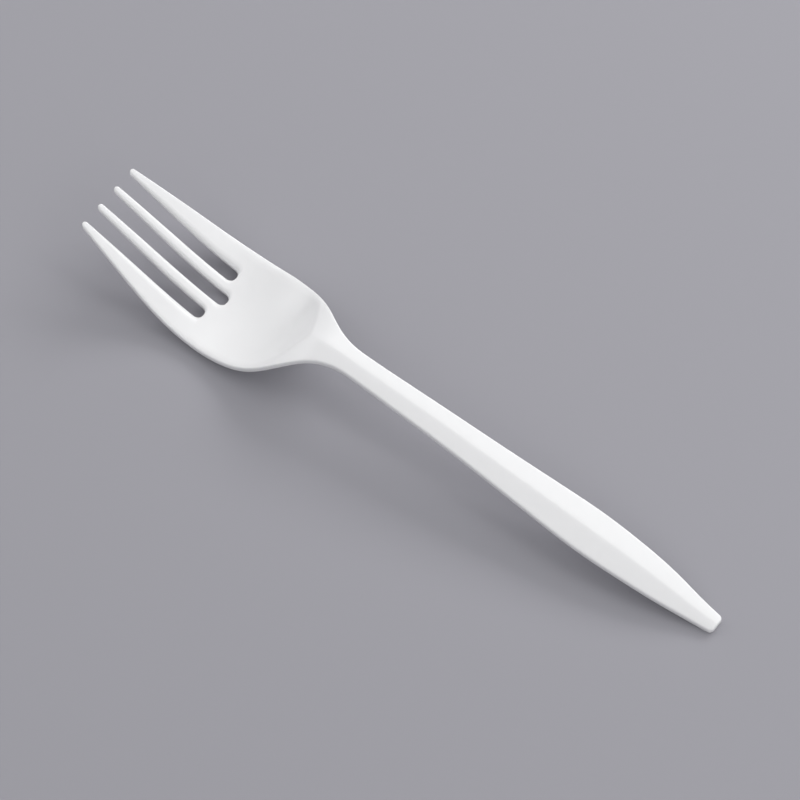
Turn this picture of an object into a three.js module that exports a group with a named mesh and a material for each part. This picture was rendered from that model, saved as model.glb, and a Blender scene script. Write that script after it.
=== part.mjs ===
import * as THREE from 'three';
import { mergeVertices } from 'three/addons/utils/BufferGeometryUtils.js';

// A disposable fork, moulded in one piece. Millimetres, +Z up.
// The tines point along -X, the handle ends at +X, and the fork lies on z = 0.
// Stations along the fork are measured from the tips of the tines.

// Plan sizes
const LENGTH = 155;
const HEAD_LENGTH = 66;
const HEAD_WIDTH = 25.6;
const NECK_WIDTH = 6;
const HANDLE_WIDTH = 10;
const END_WIDTH = 4;
const END_CORNER_RADIUS = 0.9;

// Tines and slots
const TINE_TIP_WIDTH = 1.4;
const TINE_TIP_PITCH = 5.3;
const SLOT_WIDTH = 3;
const SLOT_PITCH = 5.54;
const OUTER_SLOT_LENGTH = 29.1;
const MIDDLE_SLOT_EXTRA = 1.9;

// The bowl. Its rim runs lower over the table than it is deep, so its floor rests on the table.
const BOWL_DEPTH = 1.2;
const RIM_DROP = 0.4;
const BOWL_RIM_RISE = BOWL_DEPTH - RIM_DROP;

// Heights of the underside of the edge above the table
const TIP_RISE = 11.85;
const NECK_RISE = 9.8;

// Wall, facets, crests and edges
const WALL = 1.4;
const TIP_WALL = 1.15;
const FACET_SLOPE = 0.16;
const RIM_BAND = 0.7;
const RIDGE_RADIUS = 0.2;
const CREST_SOFTNESS = 0.08;
const EDGE_RADIUS = 0.3;

const { smoothstep, smootherstep, lerp, clamp } = THREE.MathUtils;

// Stations by share of the head, and by share of the handle behind it.
const head = (share) => share * HEAD_LENGTH;
const handle = (share) => lerp(HEAD_LENGTH, LENGTH, share);

// Stations where the bowl begins, is deep, and closes to the ridge of the handle
const BOWL_START = head(0.3);
const BOWL_DEEP = head(0.6);
const BOWL_BACK = head(0.682);
const RIDGE_START = head(0.8);

const TIP_RADIUS = TINE_TIP_WIDTH / 2;
const ROOT_RADIUS = SLOT_WIDTH / 2;
const MIDDLE_SLOT_LENGTH = OUTER_SLOT_LENGTH + MIDDLE_SLOT_EXTRA;

// The slots from left to right. They part the fork into strips, one for each tine.
const SLOT_LENGTHS = [OUTER_SLOT_LENGTH, MIDDLE_SLOT_LENGTH, OUTER_SLOT_LENGTH];
const STRIPS = SLOT_LENGTHS.length + 1;

// A natural cubic spline through the given points, as a function.
function smoothCurve(points) {
  const count = points.length;
  const gaps = points.slice(1).map((point, i) => point[0] - points[i][0]);
  const bends = new Array(count).fill(0);
  const ratios = new Array(count).fill(0);
  for (let i = 1; i < count - 1; i++) {
    const rise = (points[i + 1][1] - points[i][1]) / gaps[i];
    const lastRise = (points[i][1] - points[i - 1][1]) / gaps[i - 1];
    const pivot = 2 * (gaps[i - 1] + gaps[i]) - gaps[i - 1] * ratios[i - 1];
    ratios[i] = gaps[i] / pivot;
    bends[i] = (6 * (rise - lastRise) - gaps[i - 1] * bends[i - 1]) / pivot;
  }
  for (let i = count - 2; i > 0; i--) {
    bends[i] -= ratios[i] * bends[i + 1];
  }
  return (x) => {
    let i = 0;
    while (i < count - 2 && x > points[i + 1][0]) i++;
    const gap = gaps[i];
    const after = (x - points[i][0]) / gap;
    const before = 1 - after;
    const curve = (before ** 3 - before) * bends[i] + (after ** 3 - after) * bends[i + 1];
    return before * points[i][1] + after * points[i + 1][1] + (curve * gap * gap) / 6;
  };
}

// Half the width of the fork, before the end's corners are rounded.
const tipToHead = (share) => lerp(1.5 * TINE_TIP_PITCH + TIP_RADIUS, HEAD_WIDTH / 2, share);
const neckToHead = (share) => lerp(NECK_WIDTH, HEAD_WIDTH, share) / 2;
const neckToHandle = (share) => lerp(NECK_WIDTH, HANDLE_WIDTH, share) / 2;
const endToHandle = (share) => lerp(END_WIDTH, HANDLE_WIDTH, share) / 2;
const sideCurve = smoothCurve([
  [TIP_RADIUS, tipToHead(0)],
  [head(0.14), tipToHead(0.36)],
  [head(0.28), tipToHead(0.71)],
  [head(0.41), tipToHead(0.935)],
  [head(0.53), tipToHead(1)],
  [head(0.625), neckToHead(0.955)],
  [head(0.705), neckToHead(0.8)],
  [head(0.785), neckToHead(0.5)],
  [head(0.855), neckToHead(0.2)],
  [head(0.925), neckToHead(0.03)],
  [head(1), neckToHead(0)],
  [handle(0.11), neckToHandle(0.11)],
  [handle(0.27), neckToHandle(0.31)],
  [handle(0.44), neckToHandle(0.63)],
  [handle(0.555), neckToHandle(0.89)],
  [handle(0.65), neckToHandle(1)],
  [handle(0.745), endToHandle(0.895)],
  [handle(0.86), endToHandle(0.59)],
  [handle(0.95), endToHandle(0.185)],
  [handle(1), endToHandle(0)],
]);

// Height of the underside of the edge.
const bowlToTip = (share) => lerp(BOWL_RIM_RISE, TIP_RISE, share);
const bowlToNeck = (share) => lerp(BOWL_RIM_RISE, NECK_RISE, share);
const edgeCurve = smoothCurve([
  [head(0), bowlToTip(1)],
  [head(0.117), bowlToTip(0.704)],
  [head(0.235), bowlToTip(0.399)],
  [head(0.352), bowlToTip(0.135)],
  [head(0.446), bowlToTip(0.02)],
  [head(0.517), bowlToTip(0)],
  [head(0.587), bowlToNeck(0.061)],
  [head(0.67), bowlToNeck(0.235)],
  [head(0.752), bowlToNeck(0.614)],
  [head(0.833), bowlToNeck(0.932)],
  [head(0.916), bowlToNeck(1)],
  [handle(0.042), 0.94 * NECK_RISE],
  [handle(0.216), 0.83 * NECK_RISE],
  [handle(0.39), 0.675 * NECK_RISE],
  [handle(0.565), 0.505 * NECK_RISE],
  [handle(0.739), 0.345 * NECK_RISE],
  [handle(0.861), 0.19 * NECK_RISE],
  [handle(0.948), 0.042 * NECK_RISE],
  [handle(1), -0.022 * NECK_RISE],
]);

// Half the width of the fork at a station.
function halfWidth(station) {
  const intoCorner = clamp(station - (LENGTH - END_CORNER_RADIUS), 0, END_CORNER_RADIUS);
  const corner = END_CORNER_RADIUS - Math.sqrt(END_CORNER_RADIUS ** 2 - intoCorner ** 2);
  return sideCurve(station) - corner;
}

// Distance of an outer slot's middle line, and of the seam behind it, from the fork's middle.
function slotOffset(station) {
  if (station < OUTER_SLOT_LENGTH) {
    return lerp(TINE_TIP_PITCH, SLOT_PITCH, station / OUTER_SLOT_LENGTH);
  }
  return (SLOT_PITCH * halfWidth(station)) / halfWidth(OUTER_SLOT_LENGTH);
}

// Half the width of a slot: its mouth flares between the tips, and its root is a half circle.
// The slot can be grown all round by a distance, for a line that runs beside it.
function slotHalfWidth(station, slotLength, grown = 0) {
  const rootCentre = slotLength - ROOT_RADIUS;
  const mouth = (TINE_TIP_PITCH - TINE_TIP_WIDTH) / 2;
  if (station <= rootCentre) return grown + lerp(ROOT_RADIUS, mouth, (1 - station / rootCentre) ** 2);
  return Math.sqrt(Math.max(0, (ROOT_RADIUS + grown) ** 2 - (station - rootCentre) ** 2));
}

// The two sides of a strip of the fork at a station, one strip for each tine.
function stripSides(strip, station) {
  const outer = strip === 0 || strip === STRIPS - 1;
  const offset = slotOffset(station);
  const gap = slotHalfWidth(station, OUTER_SLOT_LENGTH);
  let inside = outer ? offset + gap : slotHalfWidth(station, MIDDLE_SLOT_LENGTH);
  let outside = outer ? halfWidth(station) : offset - gap;
  if (station < TIP_RADIUS) {
    const centre = (inside + outside) / 2;
    const share = Math.sqrt(1 - (1 - station / TIP_RADIUS) ** 2);
    inside = lerp(centre, inside, share);
    outside = lerp(centre, outside, share);
  }
  return strip < STRIPS / 2 ? [-outside, -inside] : [inside, outside];
}

// Distance from a point on the fork, seen from above, to the nearest edge.
function edgeDistance(station, y, strip) {
  const across = Math.abs(y);
  const step = 0.01;
  const slant = (halfWidth(station + step) - halfWidth(station - step)) / (2 * step);
  let distance = (halfWidth(station) - across) / Math.hypot(1, slant);
  const slots = [[0, MIDDLE_SLOT_LENGTH], [slotOffset(station), OUTER_SLOT_LENGTH]];
  for (const [offset, slotLength] of slots) {
    const aside = Math.abs(across - offset);
    const past = station - (slotLength - ROOT_RADIUS);
    const toSide = aside - slotHalfWidth(station, slotLength);
    distance = Math.min(distance, past > 0 ? Math.hypot(past, aside) - ROOT_RADIUS : toSide);
  }
  if (station < TIP_RADIUS) {
    const [left, right] = stripSides(strip, TIP_RADIUS);
    const toTip = TIP_RADIUS - Math.hypot(TIP_RADIUS - station, y - (left + right) / 2);
    distance = Math.min(distance, toTip);
  }
  return Math.max(0, Math.min(distance, LENGTH - station));
}

// Height of the upper face, before its edges are rounded. A crest runs along each rim of the bowl,
// and the two crests close to the ridge of the handle. Inside them lies the dish, outside a facet.
function topHeight(station, y) {
  const width = sideCurve(station);
  const edge = WALL + edgeCurve(station);
  const deepening = smoothstep(station, BOWL_START, BOWL_DEEP);
  const closing = clamp((station - BOWL_BACK) / (RIDGE_START - BOWL_BACK), 0, 1);
  const depth = BOWL_DEPTH * deepening * (1 - smoothstep(station, BOWL_BACK, RIDGE_START));
  const slope = FACET_SLOPE * deepening;
  const crest = Math.max(CREST_SOFTNESS, (width - RIM_BAND) * (1 - closing ** 3));
  const aside = (distance) => Math.hypot(distance, RIDGE_RADIUS) - RIDGE_RADIUS;
  const facet = edge + slope * (aside(width) - aside(y));
  const dish = edge + slope * (aside(width) - aside(crest)) - depth * (1 - (y / crest) ** 2);
  return (facet + dish - Math.hypot(facet - dish, CREST_SOFTNESS)) / 2;
}

// Height of the underside: one wall below the upper face, and flat where it meets the table.
function undersideHeight(station, y) {
  const step = 0.05;
  const slopeX = (topHeight(station + step, y) - topHeight(station - step, y)) / (2 * step);
  const slopeY = (topHeight(station, y + step) - topHeight(station, y - step)) / (2 * step);
  const wall = lerp(TIP_WALL, WALL, smootherstep(station, 0, BOWL_START));
  return Math.max(0, topHeight(station, y) - wall * Math.hypot(1, slopeX, slopeY));
}

// How far the rounded edge falls back from the face.
function edgeFall(distance) {
  const inside = Math.max(0, EDGE_RADIUS - distance);
  return EDGE_RADIUS - Math.sqrt(EDGE_RADIUS ** 2 - inside ** 2);
}

// Numbers from start up to, but without, end, evenly apart.
function evenly(start, end, count) {
  return Array.from({ length: count }, (_, i) => lerp(start, end, i / count));
}

// Stations along an arc, close together where the arc crosses the fork.
function arcStations(centre, radius, fromAngle, toAngle, count) {
  return evenly(fromAngle, toAngle, count).map((angle) => centre + radius * Math.sin(angle));
}

function allStations() {
  const quarter = Math.PI / 2;
  const outerCentre = OUTER_SLOT_LENGTH - ROOT_RADIUS;
  const middleCentre = MIDDLE_SLOT_LENGTH - ROOT_RADIUS;
  const endCentre = LENGTH - END_CORNER_RADIUS;
  const stations = [
    ...arcStations(TIP_RADIUS, TIP_RADIUS, -quarter, 0, 4),
    ...evenly(TIP_RADIUS, outerCentre, 10),
    ...arcStations(outerCentre, ROOT_RADIUS, 0, quarter, 5),
    OUTER_SLOT_LENGTH,
    OUTER_SLOT_LENGTH + EDGE_RADIUS / 3,
    ...arcStations(middleCentre, ROOT_RADIUS, 0, quarter, 5),
    MIDDLE_SLOT_LENGTH,
    MIDDLE_SLOT_LENGTH + EDGE_RADIUS / 3,
    ...evenly(MIDDLE_SLOT_LENGTH + EDGE_RADIUS, RIDGE_START, 20),
    ...evenly(RIDGE_START, HEAD_LENGTH, 8),
    ...evenly(HEAD_LENGTH, endCentre, 16),
    ...arcStations(endCentre, END_CORNER_RADIUS, 0, quarter, 4),
    LENGTH,
  ];
  return stations.sort((a, b) => a - b);
}

// How far inside a strip's side a line of points runs that keeps some distance from the edge.
// It follows the root of a slot, and behind the slot the lines spread from the seam.
function inset(station, distance, slotLength, width) {
  if (slotLength === undefined) return distance;
  const around = slotHalfWidth(station, slotLength, distance) - slotHalfWidth(station, slotLength);
  const spreadStart = slotLength + EDGE_RADIUS;
  const spread = clamp((station - spreadStart) / (BOWL_DEEP - spreadStart), 0, 1);
  return Math.max(around, (spread * width * distance) / (3 * EDGE_RADIUS));
}

// Points across a strip, from side to side, close together beside an edge.
function stripPoints(strip, station) {
  const [left, right] = stripSides(strip, station);
  const width = right - left;
  const edgeBand = Math.min(EDGE_RADIUS, 0.45 * width);
  const fromLeft = (distance) => left + inset(station, distance, SLOT_LENGTHS[strip - 1], width);
  const fromRight = (distance) => right - inset(station, distance, SLOT_LENGTHS[strip], width);
  return [
    left,
    fromLeft(edgeBand / 3),
    fromLeft(edgeBand),
    (fromLeft(edgeBand) + fromRight(edgeBand)) / 2,
    fromRight(edgeBand),
    fromRight(edgeBand / 3),
    right,
  ];
}

// The whole fork as one closed surface: an upper and a lower face, and a wall along every edge.
function forkGeometry() {
  const stations = allStations();
  const corners = [];
  const addTriangle = (a, b, c) => {
    const shortest = Math.min(a.distanceTo(b), b.distanceTo(c), c.distanceTo(a));
    if (shortest > 1e-4) corners.push(a, b, c);
  };
  const addQuad = (a, b, c, d) => {
    addTriangle(a, b, c);
    addTriangle(a, c, d);
  };
  for (let strip = 0; strip < STRIPS; strip++) {
    const rows = stations.map((station) => stripPoints(strip, station).map((y) => {
      const x = station - LENGTH / 2;
      const fall = edgeFall(edgeDistance(station, y, strip));
      return {
        top: new THREE.Vector3(x, y, topHeight(station, y) - fall),
        low: new THREE.Vector3(x, y, undersideHeight(station, y) + fall),
      };
    }));
    const last = rows[0].length - 1;
    for (let i = 0; i < rows.length - 1; i++) {
      const row = rows[i];
      const next = rows[i + 1];
      for (let j = 0; j < last; j++) {
        addQuad(row[j].top, next[j].top, next[j + 1].top, row[j + 1].top);
        addQuad(row[j].low, row[j + 1].low, next[j + 1].low, next[j].low);
      }
      const open = (slotLength) => slotLength === undefined || stations[i] < slotLength;
      if (open(SLOT_LENGTHS[strip - 1])) {
        addQuad(row[0].low, next[0].low, next[0].top, row[0].top);
      }
      if (open(SLOT_LENGTHS[strip])) {
        addQuad(row[last].top, next[last].top, next[last].low, row[last].low);
      }
    }
    const end = rows.at(-1);
    for (let j = 0; j < last; j++) {
      addQuad(end[j].low, end[j + 1].low, end[j + 1].top, end[j].top);
    }
  }
  const geometry = mergeVertices(new THREE.BufferGeometry().setFromPoints(corners), 1e-4);
  geometry.computeVertexNormals();
  return geometry;
}

const plastic = new THREE.MeshStandardMaterial({ color: 0xf4f4f2, roughness: 0.32, metalness: 0 });
const fork = new THREE.Mesh(forkGeometry(), plastic);
fork.name = 'fork';

const group = new THREE.Group();
group.add(fork);

export default group;
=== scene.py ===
"""A disposable plastic fork that lies on a grey card, lit by soft studio lamps.

The fork's surface is worked out from the same formulas and sizes as its CAD solid, on a finer
grid, and stands for that solid. Sizes are in millimetres and are turned into metres for Blender.
Stations along the fork are measured from the tips of its tines.
"""

import logging
import math
from dataclasses import dataclass, field
from enum import Enum

import bpy
import numpy as np
from mathutils import Matrix, Vector

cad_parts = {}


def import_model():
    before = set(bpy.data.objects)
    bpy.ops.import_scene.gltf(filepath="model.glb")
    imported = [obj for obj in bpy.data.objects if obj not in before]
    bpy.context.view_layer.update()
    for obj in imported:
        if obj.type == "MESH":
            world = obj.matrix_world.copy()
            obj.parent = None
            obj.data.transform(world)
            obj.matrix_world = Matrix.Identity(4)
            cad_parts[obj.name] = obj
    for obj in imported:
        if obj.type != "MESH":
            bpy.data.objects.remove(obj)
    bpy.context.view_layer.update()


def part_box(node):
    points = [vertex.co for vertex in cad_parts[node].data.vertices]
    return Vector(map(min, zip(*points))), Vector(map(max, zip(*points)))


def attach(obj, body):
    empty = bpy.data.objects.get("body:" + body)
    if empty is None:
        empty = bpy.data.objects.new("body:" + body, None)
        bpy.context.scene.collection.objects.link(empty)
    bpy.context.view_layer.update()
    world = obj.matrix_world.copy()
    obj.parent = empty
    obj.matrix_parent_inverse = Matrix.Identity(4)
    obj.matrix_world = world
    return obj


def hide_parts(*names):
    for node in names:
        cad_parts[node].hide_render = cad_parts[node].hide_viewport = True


MM = 0.001
NEARLY_UNDER = 0.99
LOG = logging.getLogger("fork")


class Face(Enum):
    """The half of the mould that shaped a face, as the share kept in the mould_half attribute."""

    UPPER = 0.0
    UNDER = 1.0


def lerp(
    start: float | np.ndarray, end: float | np.ndarray, share: float | np.ndarray
) -> float | np.ndarray:
    """Goes in a straight line from start to end.

    Args:
        start: The value at share 0.
        end: The value at share 1.
        share: How far along, from 0 to 1.

    Returns:
        The value there.
    """
    return start + (end - start) * share


def ease(at: np.ndarray, start: float, end: float) -> np.ndarray:
    """Rises from 0 at start to 1 at end as 3 t squared less 2 t cubed, level at both ends.

    Args:
        at: The places to work it out for.
        start: Where the rise begins.
        end: Where the rise ends.

    Returns:
        The share at each place.
    """
    share = np.clip((at - start) / (end - start), 0, 1)
    return share * share * (3 - 2 * share)


@dataclass
class SmoothCurve:
    """A natural cubic spline: one cubic between each two points, with no jump in slope or bend."""

    points: list[tuple[float, float]]
    stations: np.ndarray = field(init=False)
    values: np.ndarray = field(init=False)
    bends: np.ndarray = field(init=False)

    def __post_init__(self) -> None:
        """Solves for the bends, so that the slopes of neighbouring cubics agree at each point."""
        self.stations, self.values = np.array(self.points, float).T
        count = len(self.stations)
        gaps = np.diff(self.stations)
        inner = np.arange(1, count - 1)
        matrix = np.eye(count)
        matrix[inner, inner - 1] = gaps[:-1]
        matrix[inner, inner] = 2 * (gaps[:-1] + gaps[1:])
        matrix[inner, inner + 1] = gaps[1:]
        right = np.zeros(count)
        right[inner] = 6 * np.diff(np.diff(self.values) / gaps)
        self.bends = np.linalg.solve(matrix, right)

    def __call__(self, at: np.ndarray) -> np.ndarray:
        """Reads the curve.

        Args:
            at: Stations.

        Returns:
            The curve's value at each station.
        """
        i = np.clip(np.searchsorted(self.stations, at) - 1, 0, len(self.stations) - 2)
        gap = self.stations[i + 1] - self.stations[i]
        after = (at - self.stations[i]) / gap
        before = 1 - after
        curve = (before**3 - before) * self.bends[i] + (after**3 - after) * self.bends[i + 1]
        return before * self.values[i] + after * self.values[i + 1] + curve * gap * gap / 6


@dataclass
class ForkShape:
    """The fork's form as formulas, with the sizes of its CAD source."""

    length: float = 155.0
    head_length: float = 66.0
    head_width: float = 25.6
    neck_width: float = 6.0
    handle_width: float = 10.0
    end_width: float = 4.0
    end_corner_radius: float = 0.9
    tine_tip_width: float = 1.4
    tine_tip_pitch: float = 5.3
    slot_width: float = 3.0
    slot_pitch: float = 5.54
    outer_slot_length: float = 29.1
    middle_slot_extra: float = 1.9
    bowl_depth: float = 1.2
    rim_drop: float = 0.4
    tip_rise: float = 11.85
    neck_rise: float = 9.8
    wall: float = 1.4
    tip_wall: float = 1.15
    facet_slope: float = 0.16
    rim_band: float = 0.7
    ridge_radius: float = 0.2
    crest_softness: float = 0.08
    edge_radius: float = 0.3
    sides: SmoothCurve = field(init=False)
    edges: SmoothCurve = field(init=False)

    def __post_init__(self) -> None:
        """Works out what follows from the sizes, and the two curves of the outline."""
        self.tip_radius = self.tine_tip_width / 2
        self.root_radius = self.slot_width / 2
        self.middle_slot_length = self.outer_slot_length + self.middle_slot_extra
        self.slots = (self.outer_slot_length, self.middle_slot_length, self.outer_slot_length)
        self.bowl_start = self.head(0.3)
        self.bowl_deep = self.head(0.6)
        self.bowl_back = self.head(0.682)
        self.ridge_start = self.head(0.8)
        self.sides = self.side_curve()
        self.edges = self.edge_curve()

    def head(self, share: float) -> float:
        """Gives the station at a share of the head."""
        return share * self.head_length

    def handle(self, share: float) -> float:
        """Gives the station at a share of the handle, which lies behind the head."""
        return lerp(self.head_length, self.length, share)

    def side_curve(self) -> SmoothCurve:
        """Draws half the fork's width from tip to end, before the end's corners are rounded."""
        tip = (1.5 * self.tine_tip_pitch + self.tip_radius, self.head_width / 2)
        head = (self.neck_width / 2, self.head_width / 2)
        neck = (self.neck_width / 2, self.handle_width / 2)
        end = (self.end_width / 2, self.handle_width / 2)
        return SmoothCurve(
            [(self.tip_radius, lerp(*tip, 0))]
            + [(self.head(at), lerp(*tip, share)) for at, share in (
                (0.14, 0.36), (0.28, 0.71), (0.41, 0.935), (0.53, 1))]
            + [(self.head(at), lerp(*head, share)) for at, share in (
                (0.625, 0.955), (0.705, 0.8), (0.785, 0.5), (0.855, 0.2), (0.925, 0.03), (1, 0))]
            + [(self.handle(at), lerp(*neck, share)) for at, share in (
                (0.11, 0.11), (0.27, 0.31), (0.44, 0.63), (0.555, 0.89), (0.65, 1))]
            + [(self.handle(at), lerp(*end, share)) for at, share in (
                (0.745, 0.895), (0.86, 0.59), (0.95, 0.185), (1, 0))]
        )

    def edge_curve(self) -> SmoothCurve:
        """Draws the height of the underside of the edge above the table, from tip to end."""
        rim_rise = self.bowl_depth - self.rim_drop
        return SmoothCurve(
            [(self.head(at), lerp(rim_rise, self.tip_rise, share)) for at, share in (
                (0, 1), (0.117, 0.704), (0.235, 0.399), (0.352, 0.135), (0.446, 0.02), (0.517, 0))]
            + [(self.head(at), lerp(rim_rise, self.neck_rise, share)) for at, share in (
                (0.587, 0.061), (0.67, 0.235), (0.752, 0.614), (0.833, 0.932), (0.916, 1))]
            + [(self.handle(at), share * self.neck_rise) for at, share in (
                (0.042, 0.94), (0.216, 0.83), (0.39, 0.675), (0.565, 0.505),
                (0.739, 0.345), (0.861, 0.19), (0.948, 0.042), (1, -0.022))]
        )

    def half_width(self, station: np.ndarray) -> np.ndarray:
        """Gives half the fork's width: the side curve less the end's round corner.

        Args:
            station: Stations.

        Returns:
            Half the width at each station.
        """
        radius = self.end_corner_radius
        into_corner = np.clip(station - (self.length - radius), 0, radius)
        return self.sides(station) - (radius - np.sqrt(radius**2 - into_corner**2))

    def slot_offset(self, station: np.ndarray) -> np.ndarray:
        """Gives how far an outer slot's middle line, or the seam behind it, lies from the middle.

        The line is straight beside the slot, and behind it keeps its share of the half width.

        Args:
            station: Stations.

        Returns:
            The distance at each station.
        """
        root = np.float64(self.outer_slot_length)
        beside = lerp(self.tine_tip_pitch, self.slot_pitch, station / root)
        behind = self.slot_pitch * self.half_width(station) / self.half_width(root)
        return np.where(station < root, beside, behind)

    def slot_half_width(self, station: np.ndarray, slot: float, grown: float = 0.0) -> np.ndarray:
        """Gives half a slot's width: it flares as a square towards its mouth and ends in a circle.

        Args:
            station: Stations.
            slot: The slot's length.
            grown: How far the slot is grown all round, for a line that runs beside it.

        Returns:
            Half the width at each station, and 0 behind the slot.
        """
        root_centre = slot - self.root_radius
        mouth = (self.tine_tip_pitch - self.tine_tip_width) / 2
        share = np.clip(1 - station / root_centre, 0, 1) ** 2
        past = np.maximum(station - root_centre, 0)
        circle = np.sqrt(np.maximum((self.root_radius + grown) ** 2 - past**2, 0))
        beside = grown + lerp(self.root_radius, mouth, share)
        return np.where(station <= root_centre, beside, circle)

    def strip_sides(self, strip: int, station: np.ndarray) -> tuple[np.ndarray, np.ndarray]:
        """Gives the two sides of one of the four strips that end in the tines.

        A strip runs from a slot, or the seam behind it, to the next one or to the fork's side.
        At the tip both sides close on the strip's middle as a half circle.

        Args:
            strip: The strip, from 0 at the fork's left to 3 at its right.
            station: Stations.

        Returns:
            The left and the right side at each station.
        """
        outer = strip in (0, len(self.slots))
        offset = self.slot_offset(station)
        gap = self.slot_half_width(station, self.outer_slot_length)
        if outer:
            inside, outside = offset + gap, self.half_width(station)
        else:
            inside = self.slot_half_width(station, self.middle_slot_length)
            outside = offset - gap
        from_tip = np.clip(station / self.tip_radius, 0, 1)
        share = np.sqrt(1 - (1 - from_tip) ** 2)
        centre = (inside + outside) / 2
        inside, outside = lerp(centre, inside, share), lerp(centre, outside, share)
        return (-outside, -inside) if strip < 2 else (inside, outside)

    def edge_distance(self, station: np.ndarray, y: np.ndarray, strip: int) -> np.ndarray:
        """Gives how far a point lies from the nearest edge, seen from above.

        It is the least of the distances to the outline, the slots, the round tip and the end.

        Args:
            station: Stations of the points.
            y: Places of the points across the fork.
            strip: The strip that they lie on.

        Returns:
            The distance of each point, never below 0.
        """
        across = np.abs(y)
        step = 0.01
        slant = (self.half_width(station + step) - self.half_width(station - step)) / (2 * step)
        distance = (self.half_width(station) - across) / np.hypot(1, slant)
        offset = self.slot_offset(station)
        for line, slot in ((np.zeros_like(offset), self.slots[1]), (offset, self.slots[0])):
            aside = np.abs(across - line)
            past = station - (slot - self.root_radius)
            to_side = aside - self.slot_half_width(station, slot)
            to_root = np.hypot(past, aside) - self.root_radius
            distance = np.minimum(distance, np.where(past > 0, to_root, to_side))
        left, right = self.strip_sides(strip, np.float64(self.tip_radius))
        to_tip = self.tip_radius - np.hypot(self.tip_radius - station, y - (left + right) / 2)
        distance = np.where(station < self.tip_radius, np.minimum(distance, to_tip), distance)
        return np.maximum(0, np.minimum(distance, self.length - station))

    def top_height(self, station: np.ndarray, y: np.ndarray) -> np.ndarray:
        """Gives the height of the upper face, before its edges are rounded.

        A crest runs along each rim of the bowl, and the two close to the ridge of the handle.
        Outside the crests a facet falls to the edge at a steady slope, and inside them lies the
        dish, whose depth goes with the square of the distance from the crest. The lower of the
        two is the surface, with the crest between them a little softened.

        Args:
            station: Stations of the points.
            y: Places of the points across the fork.

        Returns:
            The height of each point above the table.
        """
        width = self.sides(station)
        edge = self.wall + self.edges(station)
        deepening = ease(station, self.bowl_start, self.bowl_deep)
        closing = (station - self.bowl_back) / (self.ridge_start - self.bowl_back)
        closing = np.clip(closing, 0, 1)
        shallowing = ease(station, self.bowl_back, self.ridge_start)
        depth = self.bowl_depth * deepening * (1 - shallowing)
        slope = self.facet_slope * deepening
        crest = np.maximum(self.crest_softness, (width - self.rim_band) * (1 - closing**3))
        facet = edge + slope * (self.aside(width) - self.aside(y))
        dish = edge + slope * (self.aside(width) - self.aside(crest))
        dish = dish - depth * (1 - (y / crest) ** 2)
        return (facet + dish - np.hypot(facet - dish, self.crest_softness)) / 2

    def aside(self, distance: np.ndarray) -> np.ndarray:
        """Gives the distance from the middle, rounded at the ridge as a hyperbola."""
        return np.hypot(distance, self.ridge_radius) - self.ridge_radius

    def underside_height(self, station: np.ndarray, y: np.ndarray) -> np.ndarray:
        """Gives the underside's height: one wall below the top, flat where it meets the table.

        The wall is measured square to the upper face, so on a slope it is longer straight down.

        Args:
            station: Stations of the points.
            y: Places of the points across the fork.

        Returns:
            The height of each point above the table.
        """
        step = 0.05
        along = self.top_height(station + step, y) - self.top_height(station - step, y)
        aside = self.top_height(station, y + step) - self.top_height(station, y - step)
        share = np.clip(station / self.bowl_start, 0, 1)
        share = share**3 * (share * (6 * share - 15) + 10)
        wall = lerp(self.tip_wall, self.wall, share)
        steepness = np.sqrt(1 + (along**2 + aside**2) / (2 * step) ** 2)
        return np.maximum(0, self.top_height(station, y) - wall * steepness)

    def edge_fall(self, distance: np.ndarray) -> np.ndarray:
        """Gives how far the edge's quarter round falls back at a distance from the edge."""
        inside = np.maximum(0, self.edge_radius - distance)
        return self.edge_radius - np.sqrt(self.edge_radius**2 - inside**2)


def hex_to_linear(colour: str) -> tuple[float, float, float, float]:
    """Turns an sRGB hex colour into Blender's linear one.

    Args:
        colour: Six hex digits after a #.

    Returns:
        Red, green, blue and an alpha of 1.
    """
    parts = [int(colour[i : i + 2], 16) / 255 for i in (1, 3, 5)]
    linear = [c / 12.92 if c <= 0.04045 else ((c + 0.055) / 1.055) ** 2.4 for c in parts]
    return (linear[0], linear[1], linear[2], 1.0)


def add_node(
    tree: bpy.types.NodeTree,
    kind: str,
    settings: dict[str, object] | None = None,
    values: dict[int | str, object] | None = None,
    links: dict[int | str, bpy.types.NodeSocket] | None = None,
) -> bpy.types.Node:
    """Adds one node, with its settings, the values on its sockets and what feeds them.

    Args:
        tree: The node tree of a material or world.
        kind: The node's type, as Blender names it.
        settings: Properties of the node by name.
        values: Fixed input values by socket name or number.
        links: Outputs to join to the inputs, by the input's name or number.

    Returns:
        The node.
    """
    node = tree.nodes.new(kind)
    for name, setting in (settings or {}).items():
        setattr(node, name, setting)
    for socket, value in (values or {}).items():
        node.inputs[socket].default_value = value
    for socket, output in (links or {}).items():
        tree.links.new(output, node.inputs[socket])
    return node


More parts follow.
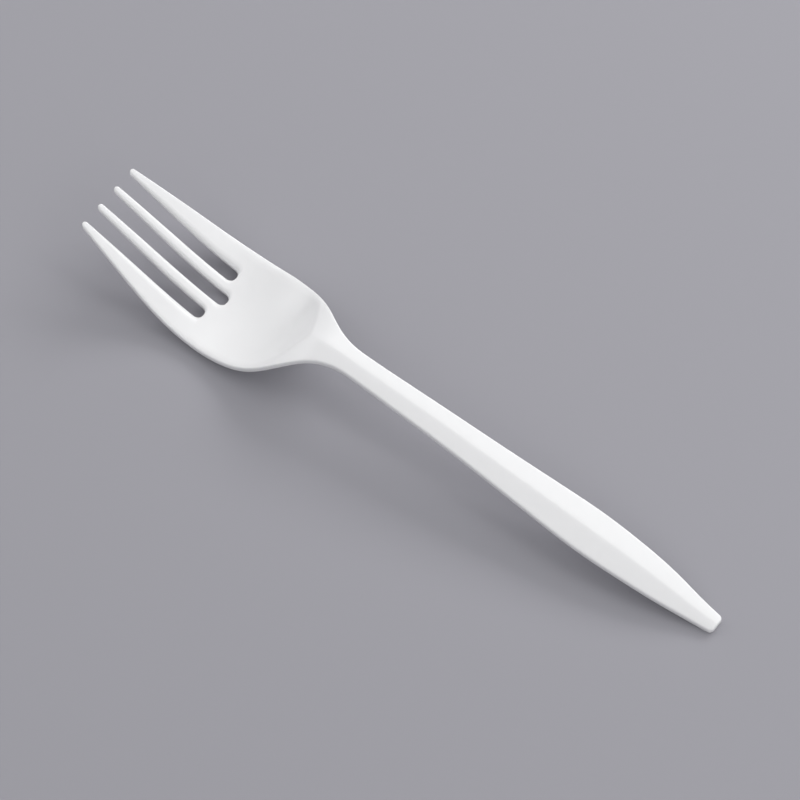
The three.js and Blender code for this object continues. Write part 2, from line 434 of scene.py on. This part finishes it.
@dataclass(frozen=True)
class MouldedPolypropylene:
    """White polypropylene, injection moulded in a polished steel mould.

    It looks white right through, a little translucent where it is thin, and semi-gloss: lamps
    show on it as broad soft sheens, which waver slightly where the plastic shrank as it cooled.
    Spacings, heights and radii are in millimetres. The polish of a real mould leaves marks finer
    than a tenth of a millimetre, and they are drawn at the grain's coarser spacing, so that they
    show. The parting line's width is a share of the edge's height.
    """

    name: str = "moulded_white_polypropylene"
    colour: str = "#F0F0F0"
    ior: float = 1.49
    roughness: tuple[float, float] = (0.22, 0.28)
    translucency: float = 0.7
    depth_of_light: float = 0.9
    shrinkage_spacing: float = 9.0
    shrinkage_height: float = 0.012
    grain_spacing: float = 0.45
    grain_height: float = 0.0006
    parting_line_height: float = 0.03
    parting_line_half_width: float = 0.12
    ejector_radius: float = 1.3
    ejector_softness: float = 0.12
    ejector_depth: float = 0.04
    ejector_places: tuple[float, ...] = (-61.0, -38.5, -8.0, 32.0, 66.0)

    def make(self) -> bpy.types.Material:
        """Makes the material.

        Returns:
            The material.
        """
        material = bpy.data.materials.new(self.name)
        material.use_nodes = True
        tree = material.node_tree
        tree.nodes.clear()
        place = add_node(tree, "ShaderNodeTexCoord").outputs["Object"]
        shrinkage, grain = (
            add_node(
                tree,
                "ShaderNodeTexNoise",
                values={"Scale": 1 / (spacing * MM), "Detail": octaves, "Roughness": 0.5},
                links={"Vector": place},
            ).outputs[0]
            for spacing, octaves in ((self.shrinkage_spacing, 1.0), (self.grain_spacing, 2.0))
        )
        rough = add_node(
            tree,
            "ShaderNodeMapRange",
            values={"To Min": self.roughness[0], "To Max": self.roughness[1]},
            links={"Value": shrinkage},
        )
        heights = [
            add_node(
                tree, "ShaderNodeMath", {"operation": "MULTIPLY"}, {1: highest}, {0: pattern}
            ).outputs[0]
            for pattern, highest in (
                (shrinkage, self.shrinkage_height), (grain, self.grain_height))
        ]
        heights += [self.parting_line(tree), self.ejector_marks(tree, place)]
        bump = add_node(
            tree,
            "ShaderNodeBump",
            values={"Strength": 1.0, "Distance": MM},
            links={"Height": self.sum_of(tree, heights)},
        )
        shader = add_node(
            tree,
            "ShaderNodeBsdfPrincipled",
            values={
                "Base Color": hex_to_linear(self.colour),
                "IOR": self.ior,
                "Subsurface Weight": self.translucency,
                "Subsurface Radius": (1.0, 1.0, 1.0),
                "Subsurface Scale": self.depth_of_light * MM,
            },
            links={"Roughness": rough.outputs["Result"], "Normal": bump.outputs["Normal"]},
        )
        add_node(
            tree, "ShaderNodeOutputMaterial", links={"Surface": shader.outputs["BSDF"]}
        )
        return material

    def sum_of(
        self, tree: bpy.types.NodeTree, heights: list[bpy.types.NodeSocket]
    ) -> bpy.types.NodeSocket:
        """Adds up several heights.

        Args:
            tree: The material's nodes.
            heights: The sockets to add.

        Returns:
            Their sum.
        """
        total = heights[0]
        for height in heights[1:]:
            total = add_node(
                tree, "ShaderNodeMath", {"operation": "ADD"}, links={0: total, 1: height}
            ).outputs[0]
        return total

    def parting_line(self, tree: bpy.types.NodeTree) -> bpy.types.NodeSocket:
        """Adds the fine line that the joint of the mould leaves half way down every edge.

        Its height falls off smoothly with the distance of mould_half from a half.

        Args:
            tree: The material's nodes.

        Returns:
            The line's height in millimetres.
        """
        half = add_node(tree, "ShaderNodeAttribute", {"attribute_name": "mould_half"})
        away = add_node(
            tree,
            "ShaderNodeMath",
            {"operation": "SUBTRACT"},
            {1: 0.5},
            {0: half.outputs["Fac"]},
        )
        distance = add_node(
            tree, "ShaderNodeMath", {"operation": "ABSOLUTE"}, links={0: away.outputs[0]}
        )
        ridge = add_node(
            tree,
            "ShaderNodeMapRange",
            {"interpolation_type": "SMOOTHSTEP"},
            {
                "From Max": self.parting_line_half_width,
                "To Min": self.parting_line_height,
                "To Max": 0.0,
            },
            {"Value": distance.outputs[0]},
        )
        return ridge.outputs["Result"]

    def ejector_marks(
        self, tree: bpy.types.NodeTree, place: bpy.types.NodeSocket
    ) -> bpy.types.NodeSocket:
        """Adds the shallow round dents that the mould's ejector pins leave on the underside.

        A dent is as deep as it gets within its radius of its place, seen from above, and rises
        smoothly at its rim.

        Args:
            tree: The material's nodes.
            place: The object coordinates.

        Returns:
            The dents' height in millimetres, which is 0 or below.
        """
        half = add_node(tree, "ShaderNodeAttribute", {"attribute_name": "mould_half"})
        dents = []
        for along in self.ejector_places:
            apart = add_node(
                tree,
                "ShaderNodeVectorMath",
                {"operation": "SUBTRACT"},
                {1: (along * MM, 0.0, 0.0)},
                {0: place},
            )
            flat = add_node(
                tree,
                "ShaderNodeVectorMath",
                {"operation": "MULTIPLY"},
                {1: (1.0, 1.0, 0.0)},
                {0: apart.outputs["Vector"]},
            )
            distance = add_node(
                tree,
                "ShaderNodeVectorMath",
                {"operation": "LENGTH"},
                links={0: flat.outputs["Vector"]},
            )
            dent = add_node(
                tree,
                "ShaderNodeMapRange",
                {"interpolation_type": "SMOOTHSTEP"},
                {
                    "From Min": (self.ejector_radius - self.ejector_softness) * MM,
                    "From Max": (self.ejector_radius + self.ejector_softness) * MM,
                    "To Min": -self.ejector_depth,
                    "To Max": 0.0,
                },
                {"Value": distance.outputs["Value"]},
            )
            dents.append(dent.outputs["Result"])
        under = add_node(
            tree,
            "ShaderNodeMath",
            {"operation": "GREATER_THAN"},
            {1: NEARLY_UNDER},
            {0: half.outputs["Fac"]},
        )
        masked = add_node(
            tree,
            "ShaderNodeMath",
            {"operation": "MULTIPLY"},
            links={0: self.sum_of(tree, dents), 1: under.outputs[0]},
        )
        return masked.outputs[0]


@dataclass(frozen=True)
class MattGreyCard:
    """Grey card with a matt face, which takes soft shadows and shows no lamps."""

    name: str = "matt_grey_card"
    colour: str = "#A2A1A7"
    roughness: float = 0.9
    specular: float = 0.2

    def make(self) -> bpy.types.Material:
        """Makes the material.

        Returns:
            The material.
        """
        material = bpy.data.materials.new(self.name)
        material.use_nodes = True
        tree = material.node_tree
        tree.nodes.clear()
        shader = add_node(
            tree,
            "ShaderNodeBsdfPrincipled",
            values={
                "Base Color": hex_to_linear(self.colour),
                "Roughness": self.roughness,
                "Specular IOR Level": self.specular,
            },
        )
        add_node(
            tree, "ShaderNodeOutputMaterial", links={"Surface": shader.outputs["BSDF"]}
        )
        return material


@dataclass
class Patches:
    """Grids of points that together make one closed surface."""

    points: list[np.ndarray] = field(default_factory=list)
    halves: list[np.ndarray] = field(default_factory=list)
    triangles: list[np.ndarray] = field(default_factory=list)
    count: int = 0
    decimals: int = 5

    def add(self, points: np.ndarray, halves: np.ndarray, turned: bool) -> None:
        """Adds a grid, two triangles to each of its cells.

        Args:
            points: Rows by columns by 3 coordinates.
            halves: The mould_half value of each point.
            turned: Whether the triangles go the other way round, so that they face outwards.
        """
        rows, columns = halves.shape
        index = np.arange(rows * columns).reshape(rows, columns) + self.count
        a, b = index[:-1, :-1].ravel(), index[1:, :-1].ravel()
        c, d = index[1:, 1:].ravel(), index[:-1, 1:].ravel()
        cells = np.concatenate([np.stack([a, b, c], 1), np.stack([a, c, d], 1)])
        self.points.append(points.reshape(-1, 3))
        self.halves.append(halves.ravel())
        self.triangles.append(cells[:, ::-1] if turned else cells)
        self.count += rows * columns

    def joined(self) -> tuple[np.ndarray, np.ndarray, np.ndarray]:
        """Merges points that share a place to a hundredth of a micron, and drops empty triangles.

        Returns:
            The points, their mould_half values, and the triangles.
        """
        points = np.concatenate(self.points)
        _, first, merged = np.unique(
            np.round(points, self.decimals), axis=0, return_index=True, return_inverse=True
        )
        triangles = merged.reshape(-1)[np.concatenate(self.triangles)]
        a, b, c = triangles.T
        triangles = triangles[(a != b) & (b != c) & (c != a)]
        return points[first], np.concatenate(self.halves)[first], triangles


@dataclass
class Fork:
    """The fork, one moulding, drawn on a fine grid of stations and lines across them.

    The lines of a rounded edge lie in a band of the edge's radius, or of band_share of the strip
    where the strip is narrower. Stations are rounded to a number of decimals.
    """

    shape: ForkShape = field(default_factory=ForkShape)
    finish: MouldedPolypropylene = field(default_factory=MouldedPolypropylene)
    edge_lines: int = 6
    middle_lines: int = 6
    wall_lines: int = 7
    round_lines: int = 13
    tine_step: float = 0.32
    bowl_step: float = 0.25
    handle_step: float = 0.5
    behind_slots: float = 0.5
    band_share: float = 0.45
    decimals: int = 6

    def stations(self) -> np.ndarray:
        """Lists the stations, closest together along the round tips, slot roots, edges and end.

        A round of radius r takes stations at its centre plus r times the sine of even angles.

        Returns:
            The stations in order.
        """
        shape = self.shape
        end_centre = shape.length - shape.end_corner_radius
        outer_centre = shape.outer_slot_length - shape.root_radius
        bowl_front = shape.middle_slot_length + self.behind_slots
        quarter = np.sin(np.linspace(0, math.pi / 2, self.round_lines))
        bands = shape.edge_radius * self.edge_shares()
        ranges = [
            shape.tip_radius * (1 - quarter),
            np.arange(shape.tip_radius, outer_centre, self.tine_step),
            outer_centre + shape.root_radius * quarter,
            shape.outer_slot_length + bands,
            shape.middle_slot_length - shape.root_radius * (1 - quarter),
            shape.middle_slot_length + bands,
            np.arange(bowl_front, shape.head_length, self.bowl_step),
            np.arange(shape.head_length, end_centre, self.handle_step),
            end_centre + shape.end_corner_radius * quarter,
            shape.length - bands,
        ]
        return np.unique(np.round(np.concatenate(ranges), self.decimals))

    def edge_shares(self) -> np.ndarray:
        """Gives the distances of the edge lines, as shares of the edge radius.

        They are 1 less the cosine of even angles, so the rounded edge is cut into even steps.

        Returns:
            The shares, from 0 at the edge to 1.
        """
        return 1 - np.cos(np.linspace(0, math.pi / 2, self.edge_lines))

    def inset(
        self, station: np.ndarray, distance: np.ndarray, slot: float | None, width: np.ndarray
    ) -> np.ndarray:
        """Gives how far inside its side an edge line runs.

        Beside a slot it follows the slot grown by its distance, and behind the slot it spreads
        from the seam to its share of a third of the strip.

        Args:
            station: Stations.
            distance: The line's distance from the edge.
            slot: The length of the slot on that side, or None at the fork's own side.
            width: The strip's width.

        Returns:
            How far inside at each station.
        """
        if slot is None:
            return distance
        shape = self.shape
        grown = distance[0]
        around = shape.slot_half_width(station, slot, grown) - shape.slot_half_width(station, slot)
        start = slot + shape.edge_radius
        spread = np.clip((station - start) / (shape.bowl_deep - start), 0, 1)
        return np.maximum(around, spread * width * distance / (3 * shape.edge_radius))

    def lines_across(self, strip: int, station: np.ndarray) -> np.ndarray:
        """Gives the places of a strip's lines across the fork, from its left side to its right.

        Args:
            strip: The strip.
            station: Stations.

        Returns:
            Stations by lines.
        """
        shape = self.shape
        left, right = shape.strip_sides(strip, station)
        width = right - left
        slots = (None, *shape.slots, None)
        band = np.minimum(shape.edge_radius, self.band_share * width)
        shares = self.edge_shares()
        bands = [band[::-1] * share for share in shares]
        from_left = [
            left + self.inset(station, row[::-1], slots[strip], width) for row in bands
        ]
        from_right = [
            right - self.inset(station, row[::-1], slots[strip + 1], width) for row in bands
        ]
        share = np.linspace(0, 1, self.middle_lines + 1)[1:-1]
        middle = [lerp(from_left[-1], from_right[-1], part) for part in share]
        return np.stack(from_left + middle + from_right[::-1], axis=1)

    def surface(self) -> tuple[np.ndarray, np.ndarray, np.ndarray]:
        """Works out the whole closed surface, in millimetres.

        Each strip has an upper and a lower face, which fall back as a quarter round at their
        edges, a wall along each side that isn't joined to its neighbour, and one at the end.

        Returns:
            The points, their mould_half values, and the triangles.
        """
        shape = self.shape
        patches = Patches()
        station = self.stations()
        slots = (None, *shape.slots, None)
        wall_share = np.linspace(0, 1, self.wall_lines)
        slack = 10.0**-self.decimals
        for strip in range(len(shape.slots) + 1):
            y = self.lines_across(strip, station)
            s = np.broadcast_to(station[:, None], y.shape)
            fall = shape.edge_fall(shape.edge_distance(s, y, strip))
            x = s - shape.length / 2
            top = np.stack([x, y, shape.top_height(s, y) - fall], axis=-1)
            low = np.stack([x, y, shape.underside_height(s, y) + fall], axis=-1)
            patches.add(top, np.full(y.shape, Face.UPPER.value), False)
            patches.add(low, np.full(y.shape, Face.UNDER.value), True)
            for side, slot, turned in ((0, slots[strip], False), (-1, slots[strip + 1], True)):
                open_rows = np.sum(station <= (shape.length if slot is None else slot) + slack)
                if open_rows > 1:
                    patches.add(
                        *self.wall(low[:open_rows, side], top[:open_rows, side], wall_share),
                        turned,
                    )
            patches.add(*self.wall(low[-1], top[-1], wall_share), False)
        return patches.joined()

    def wall(
        self, low: np.ndarray, top: np.ndarray, share: np.ndarray
    ) -> tuple[np.ndarray, np.ndarray]:
        """Rules straight lines from the underside's edge up to the upper face's edge.

        Args:
            low: Points along the lower edge.
            top: Points along the upper edge.
            share: Shares of the way up at which the wall has points.

        Returns:
            The wall's points, and their mould_half values.
        """
        points = lerp(low[:, None], top[:, None], share[None, :, None])
        halves = np.broadcast_to(lerp(Face.UNDER.value, Face.UPPER.value, share), points.shape[:2])
        return points, halves

    def build(self) -> bpy.types.Object:
        """Builds the fork's mesh in place of its CAD solid, inside that solid's box.

        Returns:
            The fork's object.
        """
        points, halves, triangles = self.surface()
        low, high = (np.array(corner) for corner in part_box("fork"))
        points = np.clip(points * MM, low, high)
        mesh = bpy.data.meshes.new("fork_surface")
        mesh.from_pydata(points, [], triangles)
        mesh.polygons.foreach_set("use_smooth", np.ones(len(triangles), bool))
        attribute = mesh.attributes.new("mould_half", "FLOAT", "POINT")
        attribute.data.foreach_set("value", halves.astype(np.float32))
        mesh.update()
        fork = bpy.data.objects.new("fork_surface", mesh)
        bpy.context.scene.collection.objects.link(fork)
        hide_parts("fork")
        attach(fork, "root")
        LOG.info("fork: %d points, %d triangles", len(points), len(triangles))
        return fork

    def dress(self, fork: bpy.types.Object) -> None:
        """Gives the fork its finish.

        Args:
            fork: The fork's object.
        """
        fork.data.materials.append(self.finish.make())
        LOG.info("fork: dressed in %s", self.finish.name)


@dataclass
class Softbox:
    """A rectangular studio lamp behind a diffuser, aimed at the middle of the fork.

    Its share is the part that it would give of the light on a level surface, if it were small.
    Small lamps whose shares sum to 1 with the strength of the room's light would show each colour
    as it is written. These are wide and give less, so that their shares sum to a little more.
    Angles are in degrees, and the rest is in metres.
    """

    name: str
    azimuth: float
    elevation: float
    distance: float
    width: float
    height: float
    share: float

    def build(self) -> bpy.types.Object:
        """Hangs the lamp.

        Its power is the share times pi squared and the distance squared, over the sine of the
        elevation.

        Returns:
            The lamp's object.
        """
        azimuth, elevation = math.radians(self.azimuth), math.radians(self.elevation)
        away = Vector(
            (
                math.cos(elevation) * math.cos(azimuth),
                math.cos(elevation) * math.sin(azimuth),
                math.sin(elevation),
            )
        )
        lamp = bpy.data.lights.new(self.name, "AREA")
        lamp.shape = "RECTANGLE"
        lamp.size = self.width
        lamp.size_y = self.height
        lamp.energy = self.share * (math.pi * self.distance) ** 2 / math.sin(elevation)
        holder = bpy.data.objects.new(self.name, lamp)
        holder.location = away * self.distance
        holder.rotation_euler = away.to_track_quat("Z", "Y").to_euler()
        bpy.context.scene.collection.objects.link(holder)
        LOG.info("%s: %.2f W from %.0f degrees", self.name, lamp.energy, self.azimuth)
        return holder


@dataclass
class PhotographCamera:
    """The camera, at the photograph's angle and field of view, with its distances in metres."""

    azimuth: float = 36.949
    elevation: float = 60.621
    distance: float = 1.2
    focal_pixels: float = 5868.0
    image_pixels: float = 800.0
    sensor: float = 36.0
    target: tuple[float, float, float] = (-0.004632, 0.003617, 0.0)
    clips: tuple[float, float] = (0.05, 20.0)

    def build(self) -> bpy.types.Object:
        """Sets the camera up and makes it the scene's own.

        Its right hand lies level, turned by the azimuth from the fork's length. It looks down at
        the elevation, and its lens is the focal length in pixels, over the image's width in
        pixels, times the sensor's width.

        Returns:
            The camera's object.
        """
        turn, tilt = math.radians(self.azimuth), math.radians(self.elevation)
        right = Vector((math.cos(turn), math.sin(turn), 0.0))
        back = Vector(
            (
                math.sin(turn) * math.cos(tilt),
                -math.cos(turn) * math.cos(tilt),
                math.sin(tilt),
            )
        )
        up = back.cross(right)
        lens = bpy.data.cameras.new("photograph_camera")
        lens.sensor_fit = "HORIZONTAL"
        lens.sensor_width = self.sensor
        lens.lens = self.focal_pixels / self.image_pixels * self.sensor
        lens.clip_start, lens.clip_end = self.clips
        camera = bpy.data.objects.new("photograph_camera", lens)
        turned = Matrix((right, up, back)).transposed().to_4x4()
        place = Vector(self.target) + back * self.distance
        camera.matrix_world = Matrix.Translation(place) @ turned
        bpy.context.scene.collection.objects.link(camera)
        bpy.context.scene.camera = camera
        LOG.info("camera: lens of %.1f mm", lens.lens)
        return camera


@dataclass
class Studio:
    """The card that the fork lies on, the lamps and the light of the room."""

    card: MattGreyCard = field(default_factory=MattGreyCard)
    card_size: float = 6.0
    room_colour: str = "#F7F8FF"
    room_strength: float = 0.19
    lamps: tuple[Softbox, ...] = (
        Softbox("wide_far_softbox", 76.0, 47.0, 1.0, 1.6, 0.8, 0.37),
        Softbox("low_far_softbox", 88.0, 27.0, 1.0, 0.8, 0.3, 0.22),
        Softbox("handle_end_softbox", 5.0, 33.0, 1.0, 0.8, 0.6, 0.13),
        Softbox("front_softbox", 300.0, 36.0, 1.0, 1.2, 0.8, 0.09),
        Softbox("low_left_softbox", 245.0, 25.0, 1.0, 1.0, 0.8, 0.06),
        Softbox("tine_side_softbox", 185.0, 30.0, 1.0, 0.7, 0.7, 0.14),
    )

    def build(self) -> None:
        """Lays the card down, hangs the lamps and sets the light of the room."""
        half = self.card_size / 2
        corners = [(-half, -half, 0.0), (half, -half, 0.0), (half, half, 0.0), (-half, half, 0.0)]
        mesh = bpy.data.meshes.new("card")
        mesh.from_pydata(corners, [], [(0, 1, 2, 3)])
        mesh.materials.append(self.card.make())
        card = bpy.data.objects.new("card", mesh)
        bpy.context.scene.collection.objects.link(card)
        for lamp in self.lamps:
            lamp.build()
        world = bpy.data.worlds.new("room")
        world.use_nodes = True
        world.node_tree.nodes.clear()
        light = add_node(
            world.node_tree,
            "ShaderNodeBackground",
            values={"Color": hex_to_linear(self.room_colour), "Strength": self.room_strength},
        )
        add_node(
            world.node_tree,
            "ShaderNodeOutputWorld",
            links={"Surface": light.outputs["Background"]},
        )
        bpy.context.scene.world = world
        bpy.context.scene.view_settings.view_transform = "Standard"
        LOG.info("studio: card, %d lamps and room light", len(self.lamps))


def main() -> None:
    """Builds the camera, the fork and the studio."""
    logging.basicConfig(level=logging.INFO, format="%(name)s: %(message)s")
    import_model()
    PhotographCamera().build()
    fork = Fork()
    fork.dress(fork.build())
    Studio().build()


if __name__ == "__main__":
    main()
